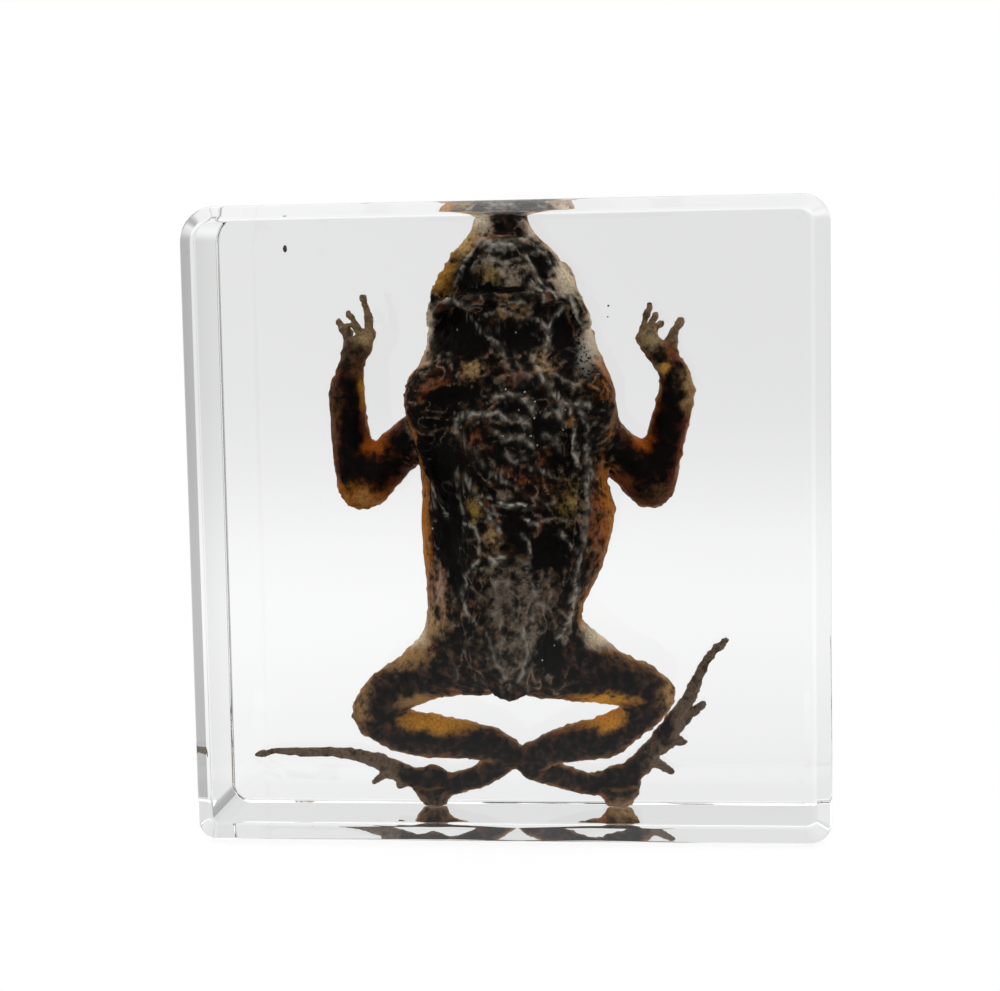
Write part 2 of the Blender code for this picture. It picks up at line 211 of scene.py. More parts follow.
limb_ends = bmesh.new()
limb_ends.from_mesh(toad.data)
for place, way_out, low_corner, high_corner in HAND_ENDS:
    cut_faces = []
    for face in limb_ends.faces:
        middle = face.calc_center_median() / MM
        if all(low <= co <= high for low, co, high in zip(low_corner, middle, high_corner)):
            cut_faces.append(face)
    parts = {item for face in cut_faces for item in (face, *face.edges, *face.verts)}
    bmesh.ops.bisect_plane(
        limb_ends, geom=list(parts), plane_co=Vector(place) * MM, plane_no=way_out, clear_outer=True
    )
    bmesh.ops.holes_fill(limb_ends, edges=[edge for edge in limb_ends.edges if edge.is_boundary])
for run in DIGITS.values():
    for start, end in zip(run, run[1:]):
        add_link(limb_ends, start, end)
    for point in run:
        ball = Matrix.Translation(Vector(point[:3]) * MM)
        bmesh.ops.create_icosphere(limb_ends, subdivisions=2, radius=point[3] * MM, matrix=ball)
for start, end in HEELS:
    add_link(limb_ends, start, end)
limb_ends.to_mesh(toad.data)
limb_ends.free()
skin_grid = toad.modifiers.new("Even grid", "REMESH")
skin_grid.mode = "VOXEL"
skin_grid.voxel_size = SKIN_VOXEL
evened = toad.modifiers.new("Even out", "SMOOTH")
evened.factor = 0.5
evened.iterations = SKIN_SMOOTHING
thinner = toad.modifiers.new("Fewer triangles where it is even", "DECIMATE")
thinner.ratio = SKIN_KEPT
keep_modifiers(toad)

# The belly's own skin gets a finer mesh than the rest
belly = bmesh.new()
belly.from_mesh(toad.data)
fine_edges = set()
for face in belly.faces:
    middle = face.calc_center_median() / MM
    inside = abs(middle.x) < TRUNK_HALF_WIDTH and TRUNK_FOOT < middle.z < TRUNK_TOP
    if inside and face.normal.y < -FINE_FACING:
        fine_edges.update(face.edges)
bmesh.ops.subdivide_edges(belly, edges=list(fine_edges), cuts=1, use_grid_fill=True)
bmesh.ops.smooth_vert(
    belly, verts=belly.verts, factor=0.5, use_axis_x=True, use_axis_y=True, use_axis_z=True
)
bmesh.ops.triangulate(belly, faces=[face for face in belly.faces if len(face.verts) > 4])
belly.to_mesh(toad.data)
belly.free()

# Threads, folds and creases of the front: (X, Z) points, half width, height, and how bright its painted
# highlight is
THREADS = {
    "chin fold": (((-3.1, 70.5), (-1.4, 69.9), (0.2, 69.9), (2.2, 70.6)), 0.42, 0.30, 0.75),
    "chin fold low": (((-2.4, 69.5), (-0.2, 69.2), (1.4, 69.6)), 0.20, 0.12, 0.5),
    "lip line left": (((-3.0, 70.2), (-5.0, 68.1), (-6.3, 65.4), (-6.8, 63.6)), 0.16, 0.15, 0.9),
    "lip line right": (((3.0, 70.0), (5.0, 67.9), (6.2, 65.4), (6.9, 64.0)), 0.16, 0.15, 0.7),
    "jaw web left": (((-4.2, 67.3), (-2.4, 68.5), (0.0, 67.6), (1.6, 68.2)), 0.18, 0.14, 0.5),
    "jaw web one": (((2.4, 68.4), (3.3, 66.9), (4.6, 65.4), (5.9, 63.5)), 0.20, 0.20, 0.9),
    "jaw web two": (((3.0, 65.4), (4.6, 64.4), (6.4, 64.0), (7.6, 63.4)), 0.22, 0.22, 1.0),
    "jaw web three": (((3.4, 66.3), (4.3, 64.6), (4.4, 63.2)), 0.16, 0.14, 0.7),
    "throat left": (((-9.1, 58.6), (-9.2, 61.2), (-8.5, 63.1), (-6.6, 63.5), (-4.4, 62.8)), 0.26, 0.26, 0.7),
    "throat right": (((7.4, 63.6), (8.3, 61.8), (9.2, 59.4), (10.4, 56.8)), 0.22, 0.22, 1.0),
    "throat strand": (((6.6, 62.6), (5.1, 61.0), (4.9, 59.5), (4.4, 57.5)), 0.20, 0.22, 1.0),
    "throat strand side": (((2.4, 61.8), (4.0, 61.1), (4.9, 60.0)), 0.16, 0.14, 0.8),
    "throat net one": (((-2.4, 61.8), (-0.4, 62.6), (1.4, 61.4), (2.6, 61.9)), 0.16, 0.12, 0.45),
    "throat net two": (((-1.6, 63.6), (0.2, 63.0), (1.8, 63.5), (3.0, 62.6)), 0.16, 0.12, 0.45),
    "throat line left": (((-3.6, 60.8), (-2.2, 59.4), (-0.6, 57.9)), 0.12, 0.10, 0.5),
    "breast ridge": (((2.8, 57.1), (4.0, 54.5), (5.1, 52.5), (6.3, 51.4), (9.6, 51.0)), 0.26, 0.32, 0.85),
    "breast ridge two": (((4.4, 56.4), (5.8, 54.6), (7.9, 53.5)), 0.20, 0.18, 0.45),
    "red strand one": (((-0.6, 57.8), (0.2, 55.6), (1.6, 53.6)), 0.22, 0.20, 0.3),
    "red strand two": (((0.9, 57.6), (1.3, 55.8), (2.4, 54.2)), 0.20, 0.18, 0.25),
    "row one left": (((-1.3, 52.1), (0.4, 52.6), (1.7, 52.2)), 0.24, 0.30, 0.8),
    "row one right": (((1.9, 51.8), (2.9, 51.2), (3.1, 50.2)), 0.26, 0.30, 0.8),
    "row two left": (((-2.4, 50.2), (-1.0, 50.4), (-0.1, 49.6)), 0.24, 0.28, 0.7),
    "row two right": (((0.9, 49.9), (2.0, 49.5), (2.7, 48.7)), 0.26, 0.30, 0.8),
    "row three left": (((-1.5, 48.0), (-0.6, 47.3), (0.3, 47.4)), 0.24, 0.26, 0.6),
    "row three right": (((1.4, 47.5), (2.6, 46.9), (3.1, 46.2)), 0.26, 0.30, 0.8),
    "row four": (((-0.2, 45.4), (0.9, 44.6), (2.2, 44.9)), 0.22, 0.20, 0.5),
    "side pieces one": (((4.4, 49.9), (5.9, 50.2), (6.6, 48.8)), 0.26, 0.26, 0.7),
    "side pieces two": (((4.6, 47.6), (5.7, 47.0), (5.9, 45.8)), 0.22, 0.22, 0.5),
    "right chain": (((7.2, 50.8), (7.9, 48.3), (7.6, 46.2), (8.3, 43.9)), 0.20, 0.30, 0.9),
    "right edge fold": (((8.4, 51.2), (9.4, 48.4), (9.2, 45.1), (9.7, 42.2)), 0.24, 0.26, 0.5),
    "left curl": (((-2.9, 50.4), (-4.6, 50.1), (-6.1, 49.4), (-6.3, 48.2), (-5.0, 47.1)), 0.26, 0.32, 0.65),
    "left curl low": (((-4.9, 46.6), (-3.6, 45.5), (-3.0, 44.0)), 0.22, 0.20, 0.35),
    "upper dash": (((-1.0, 39.8), (1.8, 39.4)), 0.15, 0.18, 1.4),
    "small dash": (((-3.2, 40.5), (-2.0, 40.3)), 0.16, 0.14, 0.9),
    "lower dash": (((1.6, 37.9), (2.6, 37.3), (3.7, 36.9)), 0.13, 0.16, 1.1),
    "fibre one": (((-1.8, 43.2), (0.2, 42.0), (1.4, 41.0)), 0.15, 0.14, 0.5),
    "fibre two": (((1.6, 44.0), (3.6, 43.7), (5.6, 42.4)), 0.15, 0.14, 0.6),
    "fibre three": (((3.4, 37.3), (5.1, 37.8), (7.3, 37.4)), 0.18, 0.16, 0.5),
    "right valley left": (((6.0, 36.1), (7.2, 34.6), (8.1, 33.1)), 0.20, 0.22, 0.7),
    "right upright": (((9.2, 42.6), (9.2, 38.6), (8.6, 34.6), (8.0, 31.6)), 0.26, 0.30, 0.6),
    "low right line": (((7.9, 31.4), (7.3, 28.6), (6.9, 26.0), (5.6, 23.2)), 0.24, 0.28, 0.8),
    "left strand": (((-6.4, 43.2), (-6.2, 40.4), (-5.6, 38.6)), 0.18, 0.20, 0.5),
    "left bright edge": (((-5.2, 42.4), (-3.6, 40.6), (-2.4, 38.4), (-0.8, 36.2)), 0.16, 0.20, 0.8),
    "left hook": (((-5.4, 37.4), (-4.0, 36.8), (-3.4, 35.4), (-3.6, 33.2), (-5.0, 31.2)), 0.18, 0.20, 0.7),
    "pale cup": (((-2.4, 33.4), (-1.7, 32.6), (-0.8, 33.4)), 0.30, 0.24, 1.0),
    "left thin fold": (((-9.4, 42.2), (-8.6, 40.2), (-7.6, 37.7)), 0.14, 0.14, 0.7),
    "middle line": (((1.6, 36.0), (2.5, 34.6), (2.2, 31.6)), 0.18, 0.18, 0.8),
    "low left arc": (((-5.0, 31.2), (-5.9, 29.0), (-5.3, 26.9), (-4.4, 25.2)), 0.22, 0.24, 0.7),
    "low middle": (((-1.9, 30.4), (-1.4, 28.2), (-1.9, 26.2)), 0.26, 0.14, 0.3),
    "low middle right": (((2.4, 31.2), (2.9, 28.4), (2.2, 25.4)), 0.26, 0.14, 0.3),
    "vent streak": (((1.4, 24.6), (1.8, 21.6), (0.8, 18.2)), 0.34, 0.22, 0.55),
    "vent side": (((-2.8, 23.9), (-2.0, 21.2), (-0.6, 18.6)), 0.26, 0.18, 0.35),
}
# Hollows of the front, where shadow fills the shrunken skin: (X, Z) of the middle, half sizes, turn in
# degrees, depth
HOLLOWS = {
    "jaw left": ((-4.9, 66.4), (0.8, 2.4), -28.0, 0.5),
    "jaw right": ((4.5, 66.7), (0.8, 2.2), 28.0, 0.5),
    "jaw foot": ((-1.6, 64.9), (3.0, 0.5), 0.0, 0.2),
    "throat left": ((-5.4, 59.6), (3.4, 2.2), 0.0, 0.3),
    "throat middle": ((1.2, 59.4), (3.0, 1.5), -8.0, 0.3),
    "cheek right": ((6.4, 59.6), (0.9, 2.6), 8.0, 0.3),
    "chest left": ((-6.4, 52.4), (2.8, 1.2), 10.0, 0.2),
    "row gap one": ((1.2, 51.2), (1.3, 0.5), 0.0, 0.3),
    "row gap two": ((0.6, 48.8), (1.4, 0.5), -5.0, 0.3),
    "row gap three": ((1.0, 46.4), (1.4, 0.5), -5.0, 0.3),
    "side gap": ((4.4, 48.6), (0.8, 1.6), 0.0, 0.3),
    "chain gap": ((8.9, 48.6), (0.5, 2.6), 0.0, 0.3),
    "left flank": ((-7.1, 37.0), (1.7, 5.2), 0.0, 0.5),
    "left upper": ((-8.4, 44.2), (1.6, 3.4), 0.0, 0.2),
    "left lower": ((-6.4, 31.6), (1.2, 2.6), 18.0, 0.2),
    "belly middle": ((0.6, 37.0), (1.2, 2.6), 18.0, 0.3),
    "belly right": ((5.0, 33.8), (1.8, 2.2), 14.0, 0.3),
    "vent right": ((4.2, 21.6), (1.2, 2.4), 20.0, 0.2),
}


def distance_to(points, places):
    """Each place's distance in the XZ plane to a line through the points."""
    flat = places[:, (0, 2)]
    nearest = np.full(len(places), 1e9)
    for start, end in zip(points, points[1:]):
        start, end = np.array(start), np.array(end)
        along = end - start
        share = np.clip((flat - start) @ along / (along @ along), 0.0, 1.0)
        nearest = np.minimum(nearest, np.linalg.norm(flat - start - share[:, None] * along, axis=1))
    return nearest


def field(places, function):
    """The function's number at each place."""
    return np.fromiter((function(Vector(place)) for place in places), float, len(places))


def drift(places, scale):
    """A smooth random vector at each place."""
    return np.array([noise.noise_vector(Vector(place) * scale) for place in places])


def crests(places, turn, length, width, seed, softness):
    """Branching crests, drawn out along a turned direction: 1 on a crest, falling to 0 beside it."""
    angle = math.radians(turn)
    along = places[:, 0] * math.cos(angle) + places[:, 2] * math.sin(angle)
    across = places[:, 2] * math.cos(angle) - places[:, 0] * math.sin(angle)
    stretched = np.stack((along / length + seed, places[:, 1] / length, across / width), axis=1)
    return np.exp(-np.abs(field(stretched, noise.noise)) / softness)


# How fast the skin's wide, middle and fine drift changes, per mm
SWING_RATE = 0.35
FLUTTER_RATE = 1.1
QUIVER_RATE = 2.7
# A thread's height as a share of the table's, the shape of its sides, and how bright its painted highlight
# is where it breaks
THREAD_SHARE = 0.6
THREAD_SHAPE = 1.6
PALE_SHAPE = 1.4
PALE_WIDTH = 0.95
BREAK_RATE = 1.6
BREAK_PALE = 0.20
# Heights of the relief, in mm, on the belly and elsewhere, and the crinkle's mean before it is scaled
BELLY_FOLD = 0.24
BELLY_FINE_FOLD = 0.10
BELLY_CRINKLE = 0.12
LIMB_FINE_FOLD = 0.14
LIMB_WART = 0.18
LIMB_CRINKLE = 0.14
LIMB_LUMP = 0.17
LIMB_SMALL_LUMP = 0.09
CRINKLE_RATE = 1.3
CRINKLE_MEAN = 0.4
WART_SPACING = 1.25
WART_RADIUS = 0.5
# The right jaw is pressed flat by this much, this far round this height
JAW_PRESSED = 0.45
JAW_HEIGHT = 66.9
JAW_REACH = 1.8

noise.seed_set(SKIN_SEED)
places = read_points(toad.data, "co") / MM
facing = read_points(toad.data, "normal")
x, y, z = places.T
front = ramp(0.0, 0.55, -facing[:, 1])
# The trunk is narrow above the vent and wide from the ribs up
trunk_edge = 5.5 + 6.0 * ramp(20.0, 29.0, z)
trunk = (1.0 - ramp(0.0, 2.5, np.abs(x) - trunk_edge)) * ramp(15.0, 17.0, z) * (1.0 - ramp(72.0, 74.0, z))
on_belly = front * trunk
swing = drift(places, SWING_RATE)
flutter = drift(places, FLUTTER_RATE)
quiver = drift(places, QUIVER_RATE)
warped = places + 1.0 * swing + 0.25 * flutter

strand_height = np.zeros(len(places))
pale = np.zeros(len(places))
breaks = ramp(-0.22, 0.10, field(places, lambda place: noise.noise(place * BREAK_RATE)))
unbroken = BREAK_PALE + (1.0 - BREAK_PALE) * breaks
thinned = 0.85 + 0.5 * flutter[:, 2]
wavering = places + 0.30 * swing + 0.26 * flutter + 0.12 * quiver
# Each thread is raised in the relief, and its pale painted highlight runs along the crest
for points, half_width, height, light in THREADS.values():
    reach = distance_to(points, wavering) / half_width / thinned
    crest = np.exp(-reach ** THREAD_SHAPE) * front
    strand_height = np.maximum(strand_height, THREAD_SHARE * height * crest)
    shine = light * np.exp(-(reach / PALE_WIDTH) ** PALE_SHAPE) * front
    pale = np.maximum(pale, shine * unbroken)
hollow = np.zeros(len(places))
hollow_depth = np.zeros(len(places))
for middle, half_sizes, turn, depth in HOLLOWS.values():
    angle = math.radians(turn)
    east = x + 0.9 * swing[:, 0] + 0.5 * flutter[:, 0] - middle[0]
    north = z + 0.9 * swing[:, 2] + 0.5 * flutter[:, 2] - middle[1]
    across = (east * math.cos(angle) + north * math.sin(angle)) / half_sizes[0]
    along = (north * math.cos(angle) - east * math.sin(angle)) / half_sizes[1]
    inside = (1.0 - ramp(0.4, 1.35, np.hypot(across, along))) * front
    hollow = np.maximum(hollow, inside)
    hollow_depth = np.maximum(hollow_depth, depth * inside)

# The folds run across the chest, slope down to the right on the belly and hang upright above the vent
flat_crests = crests(warped, turn=8.0, length=2.6, width=1.2, seed=0.0, softness=0.12)
slope_crests = crests(warped, turn=-38.0, length=3.2, width=1.2, seed=7.0, softness=0.12)
upright_crests = crests(warped, turn=82.0, length=5.0, width=1.5, seed=13.0, softness=0.16)
upper = ramp(43.0, 47.0, z)
lower = 1.0 - ramp(31.0, 35.0, z)
folds = flat_crests * upper + upright_crests * lower + slope_crests * (1.0 - upper) * (1.0 - lower)
fine_folds = crests(places + 0.6 * swing, turn=20.0, length=1.1, width=0.8, seed=29.0, softness=0.3)
crinkle = field(warped, lambda place: noise.turbulence(place * CRINKLE_RATE, 3, True))
uneven = crinkle - CRINKLE_MEAN


def wart(place):
    """1 in the middle of a wart, falling to 0 at its edge."""
    return max(0.0, 1.0 - noise.voronoi(place / WART_SPACING)[0][0] / WART_RADIUS)


warts = field(places, wart)
belly_relief = BELLY_FOLD * folds + BELLY_FINE_FOLD * fine_folds + BELLY_CRINKLE * uneven - hollow_depth
bumps = LIMB_LUMP * flutter[:, 1] + LIMB_SMALL_LUMP * quiver[:, 1]
limb_relief = LIMB_FINE_FOLD * fine_folds + LIMB_WART * warts + LIMB_CRINKLE * uneven + bumps
relief = belly_relief * on_belly + limb_relief * (1.0 - on_belly) + strand_height
finished = places + facing * relief[:, None]
jaw_side = ramp(5.5, 7.0, x) * (1.0 - ramp(0.6, 1.6, np.abs(z - JAW_HEIGHT) / JAW_REACH))
finished[:, 0] -= JAW_PRESSED * jaw_side
finished[:, 2] = np.maximum(finished[:, 2], SKIN_FLOOR)
write_points(toad.data, finished)

# Tints of the skin, some of them painted light as marked below: (X, Y, Z) of the middle and half sizes, the
# way it faces or None, colour, strength, and how much of the place shows its tint, where the rest stays
# black
BLACK = (0.0025, 0.0018, 0.0014)
DARK_BROWN = (0.065, 0.036, 0.019)
LIMB_BROWN = (0.15, 0.068, 0.027)
UMBER = (0.062, 0.031, 0.022)
FAWN = (0.27, 0.18, 0.105)
HONEY = (0.42, 0.235, 0.085)
FLAME = (0.95, 0.42, 0.035)
TOE_BROWN = (0.20, 0.135, 0.085)
RED_BROWN = (0.20, 0.062, 0.022)
TAN = (0.44, 0.27, 0.12)
CREAM = (0.85, 0.70, 0.50)
AMBER = (0.72, 0.46, 0.18)
OLIVE = (0.26, 0.165, 0.042)
ORANGE = (0.50, 0.165, 0.014)
GOLD = (0.66, 0.31, 0.04)
DARK_RED = (0.055, 0.012, 0.006)
EMBER = (0.45, 0.11, 0.01)
STRAW = (0.42, 0.31, 0.15)
ROSE = (0.36, 0.19, 0.12)
GREY = (0.19, 0.15, 0.112)
BEIGE = (0.36, 0.29, 0.21)
TINTS = {
    "snout": ((0.2, -0.5, 72.5), (2.6, 4.0, 2.2), None, DARK_BROWN, 0.9, 0.5),
    "snout sides left": ((-3.4, 0.5, 72.2), (1.6, 5.0, 1.8), None, CREAM, 0.9, 1.3),
    "snout sides right": ((3.6, 0.5, 72.2), (1.6, 5.0, 1.8), None, CREAM, 0.9, 1.3),
    "lip rim left": ((-7.4, 0.0, 66.6), (2.0, 6.0, 3.8), None, GOLD, 0.7, 1.3),
    "lip top left": ((-5.2, 0.0, 70.4), (1.6, 6.0, 2.2), None, AMBER, 0.95, 1.3),
    "lip top right": ((5.4, 0.0, 70.4), (1.5, 6.0, 2.2), None, CREAM, 0.95, 1.3),
    "lip rim right": ((7.2, 0.0, 66.4), (1.8, 6.0, 5.0), None, CREAM, 0.95, 1.3),
    "cheek rim left": ((-9.9, 0.5, 60.6), (1.4, 6.0, 5.0), None, CREAM, 0.7, 1.3),
    "cheek rim right": ((10.0, 0.5, 60.6), (1.2, 6.0, 5.0), None, CREAM, 0.8, 1.3),
    "jaw patch": ((0.2, -4.0, 66.8), (3.6, 3.0, 2.3), None, BEIGE, 0.9, 0.75),
    "jaw olive": ((-1.6, -4.0, 66.4), (1.4, 3.0, 1.2), None, OLIVE, 0.8, 0.8),
    "throat patch": ((0.2, -5.5, 62.6), (2.6, 3.0, 1.5), None, TAN, 0.7, 0.65),
    "breast tan left": ((-4.4, -6.0, 55.4), (2.9, 3.0, 1.4), None, TAN, 0.9, 0.75),
    "breast tan right": ((4.2, -6.0, 56.2), (1.9, 3.0, 1.5), None, TAN, 0.95, 0.8),
    "breast tissue": ((8.0, -6.0, 53.9), (1.6, 3.0, 1.6), None, BEIGE, 0.8, 0.75),
    "shoulder left": ((-9.2, -4.0, 53.2), (2.0, 4.0, 2.0), None, RED_BROWN, 0.9, 0.8),
    "shoulder right": ((11.0, -4.0, 52.6), (1.4, 4.0, 1.6), None, ORANGE, 0.7, 0.7),
    "breast strands": ((0.6, -6.3, 55.4), (1.6, 3.0, 1.8), None, RED_BROWN, 0.9, 0.6),
    "left red": ((-4.2, -6.5, 47.4), (2.2, 3.0, 2.4), None, RED_BROWN, 0.8, 0.65),
    "side orange": ((7.3, -6.5, 49.4), (1.0, 3.0, 1.2), None, ORANGE, 0.8, 0.85),
    "row tissue": ((1.6, -6.8, 49.0), (3.6, 3.0, 4.0), None, BEIGE, 0.5, 0.45),
    "belly top": ((2.0, -7.0, 42.6), (4.6, 3.0, 2.0), None, RED_BROWN, 0.8, 0.55),
    "right olive": ((6.9, -7.0, 39.4), (2.0, 3.0, 3.4), None, OLIVE, 0.95, 0.8),
    "right beige": ((8.7, -7.0, 38.0), (0.9, 3.0, 3.6), None, BEIGE, 0.9, 0.95),
    "left olive": ((-3.9, -7.0, 39.4), (1.5, 3.0, 2.0), None, OLIVE, 0.95, 0.85),
    "left olive low": ((-1.7, -7.0, 35.2), (1.3, 3.0, 1.9), None, TAN, 0.8, 0.8),
    "lower belly": ((1.0, -6.5, 28.4), (6.4, 4.0, 4.8), None, GREY, 0.8, 0.82),
    "above vent": ((0.6, -5.5, 22.0), (4.8, 4.0, 4.4), None, GREY, 0.8, 0.78),
    "flank right": ((11.8, -1.5, 37.6), (2.2, 6.0, 7.0), None, ORANGE, 0.85, 0.95),
    "flank right dark": ((10.2, -3.5, 37.0), (1.1, 6.0, 6.5), None, RED_BROWN, 0.9, 0.75),
    "flank left": ((-10.6, -0.5, 36.6), (1.6, 6.0, 7.0), None, ORANGE, 0.9, 1.1),
    "flank left low": ((-8.6, -1.5, 29.4), (1.8, 6.0, 3.2), None, ROSE, 0.85, 0.95),
    "groin left": ((-9.4, -0.5, 25.0), (2.8, 6.0, 2.6), None, TAN, 0.9, 0.95),
    "groin right": ((10.4, -0.5, 25.4), (2.0, 6.0, 2.0), None, BEIGE, 0.8, 0.9),
    "outer arm left": ((-21.4, 1.9, 50.0), (1.7, 5.0, 5.0), None, LIMB_BROWN, 0.9, 0.8),
    "palm left": ((-17.4, 1.0, 59.0), (0.9, 3.0, 1.3), None, STRAW, 0.7, 1.1),
    "palm dark left": ((-19.3, 1.0, 57.6), (1.6, 3.0, 2.1), None, DARK_BROWN, 1.0, 0.75),
    # The arm bends' ember is partly the skin's colour, partly a painted glow of light coming through thin
    # skin
    "arm bend left": ((-16.4, 2.5, 46.0), (2.2, 4.0, 2.2), None, EMBER, 0.95, 1.0),
    "arm bend right": ((15.8, 2.5, 46.0), (2.0, 4.0, 1.8), None, EMBER, 0.95, 0.95),
    "elbow left": ((-18.4, 2.9, 40.4), (3.6, 5.0, 2.6), None, ORANGE, 0.9, 0.95),
    "elbow gold left": ((-18.0, 2.9, 40.2), (1.8, 5.0, 1.4), None, HONEY, 0.6, 0.9),
    "elbow right": ((17.4, 2.9, 40.6), (2.6, 5.0, 2.2), None, LIMB_BROWN, 0.8, 0.9),
    "elbow inside right": ((13.6, 2.9, 41.6), (2.0, 5.0, 1.4), None, RED_BROWN, 0.9, 0.9),
    "wrist left": ((-19.0, 1.7, 55.6), (1.3, 4.0, 1.3), None, LIMB_BROWN, 0.9, 0.9),
    "inner arm left": ((-18.2, 2.0, 52.6), (0.8, 4.0, 2.6), None, GOLD, 0.9, 1.1),
    "wrist right": ((18.4, 1.7, 55.2), (1.6, 4.0, 1.0), None, STRAW, 0.7, 0.9),
    "wrist right gold": ((18.9, 1.7, 55.4), (0.9, 4.0, 0.8), None, GOLD, 0.9, 1.1),
    "outer arm right": ((20.8, 1.9, 52.4), (1.3, 4.0, 3.4), None, TAN, 0.8, 0.9),
    "palm right": ((16.5, 1.0, 58.4), (1.4, 3.0, 1.8), None, STRAW, 0.85, 1.0),
    "thumb foot right": ((19.2, 1.0, 57.2), (1.1, 3.0, 1.3), None, RED_BROWN, 0.9, 0.9),
    "heel left": ((-11.2, 13.6, 0.6), (2.4, 4.0, 1.6), None, FAWN, 0.7, 0.8),
    "heel right": ((12.4, 13.6, 0.6), (2.2, 4.0, 1.6), None, TAN, 0.8, 0.95),
    # The thighs, shanks, crotches and knees below are partly amber skin, partly painted light: painted
    # highlights on the tops that face up and a painted glow of light coming through the thin legs
    "thigh glow left": ((-12.0, 2.0, 22.0), (6.5, 6.0, 3.8), (0, -0.4, 1), HONEY, 0.9, 1.1),
    "thigh top left": ((-11.5, 2.5, 23.8), (6.0, 6.0, 2.0), (0, 0, 1), CREAM, 0.9, 1.3),
    "thigh top right": ((11.2, 2.5, 23.2), (5.0, 6.0, 1.9), (0, 0, 1), CREAM, 1.0, 1.3),
    "shank top left": ((-9.6, 4.5, 12.8), (7.5, 6.0, 2.4), (0, -0.2, 1), FLAME, 0.95, 1.25),
    "shank top right": ((10.2, 4.5, 12.9), (6.5, 6.0, 2.4), (0, -0.2, 1), FLAME, 0.95, 1.2),
    "crotch left": ((-11.0, 2.5, 15.2), (5.0, 5.0, 1.2), (0, 0, -1), HONEY, 0.9, 1.1),
    "crotch right": ((10.6, 2.5, 15.6), (5.0, 5.0, 1.4), (0, 0, -1), FLAME, 0.8, 1.1),
    "knee left": ((-18.8, 3.5, 14.2), (1.7, 5.0, 3.6), None, HONEY, 0.9, 0.85),
    "knee right": ((18.4, 3.5, 15.6), (1.6, 5.0, 3.4), None, HONEY, 0.9, 0.8),
}
# The pitted shoulder, whose pits get a painted silvery sheen: the middle and the half sizes
PITTED = ((9.4, -2.5, 57.6), (1.5, 6.0, 3.2))


def zone(middle, half_sizes, toward=None):
    """1 in the middle of a zone, falling softly to 0 outside it, on the skin that faces the given way."""
    offset = (places + 0.9 * swing + 0.4 * flutter - middle) / half_sizes
    weight = 1.0 - ramp(0.2, 1.35, np.linalg.norm(offset, axis=1))
    if toward:
        weight = weight * ramp(-0.1, 0.6, facing @ np.array(toward, float))
    return weight


def blend_to(values, target, weight):
    """Moves each number or colour towards the target by its weight."""
    if values.ndim == 2:
        weight = weight[:, None]
    return values + (np.array(target) - values) * weight


# The trunk's tints come first, then the limbs' from their middle to their thin edge, then the hands and
# feet, and last the places of the table. Cover is how much of the tint shows.
MOTTLE_RATE = 0.55
mottle = field(places, lambda place: 0.5 + 0.5 * noise.noise(place * MOTTLE_RATE))
side = ramp(0.30, 0.80, 1.0 - np.abs(facing[:, 1])) * ramp(-5.0, -2.0, y)
limbs = 1.0 - trunk
tints = np.tile(np.array(DARK_BROWN), (len(places), 1))
tints = blend_to(tints, RED_BROWN, 0.6 * ramp(0.45, 0.7, mottle))
tints = blend_to(tints, BEIGE, 0.5 * ramp(0.50, 0.25, mottle))
cover = np.full(len(places), 0.55)
cover = blend_to(cover, 0.48, on_belly)
# Towards the sides the trunk turns orange: partly the skin's amber, partly a painted glow of light coming
# through the thin sides
tints = blend_to(tints, ORANGE, side * 0.6 * trunk)
cover = blend_to(cover, 0.85, side * trunk)
# By the way the skin faces, the limbs go dark in the middle and red, orange and honey to their edges: partly
# the skin's own colour, partly a painted glow of light coming through the thin edges
turned_off = 1.0 - np.abs(facing[:, 1]) + 0.15 * flutter[:, 0]
edge = ramp(0.08, 0.66, turned_off)
rim = ramp(0.55, 1.0, turned_off)
arms = limbs * ramp(33.0, 36.0, z)
legs = limbs - arms
tints = blend_to(tints, UMBER, legs)
tints = blend_to(tints, DARK_RED, arms)
tints = blend_to(tints, RED_BROWN, arms * ramp(0.2, 0.75, turned_off))
tints = blend_to(tints, ORANGE, arms * ramp(0.3, 0.8, turned_off) * ramp(0.5, 0.75, mottle) * 0.4)
tints = blend_to(tints, LIMB_BROWN, legs * edge)
tints = blend_to(tints, EMBER, legs * edge * ramp(0.45, 0.7, mottle) * 0.35)
tints = blend_to(tints, HONEY, limbs * rim * 0.8)
cover = blend_to(cover, 0.36, arms)
cover = blend_to(cover, 0.52, legs)
cover = blend_to(cover, 0.90, arms * ramp(0.02, 0.4, turned_off))
cover = blend_to(cover, 0.90, legs * edge)
cover = blend_to(cover, 1.05, limbs * rim)
outer = ramp(13.5, 17.0, np.abs(x))
hands = ramp(55.0, 59.0, z)
toes = 1.0 - ramp(7.0, 9.5, z) * (1.0 - ramp(17.8, 19.5, x) * (z < 25.0))
tints = blend_to(tints, FAWN, outer * hands * 0.85)
tints = blend_to(tints, TOE_BROWN, outer * toes * 0.85)
cover = blend_to(cover, 0.92, outer * np.maximum(hands, toes))
for middle, half_sizes, toward, colour, strength, share in TINTS.values():
    weight = strength * zone(middle, half_sizes, toward)
    tints = blend_to(tints, colour, weight)
    cover = blend_to(cover, share, weight)
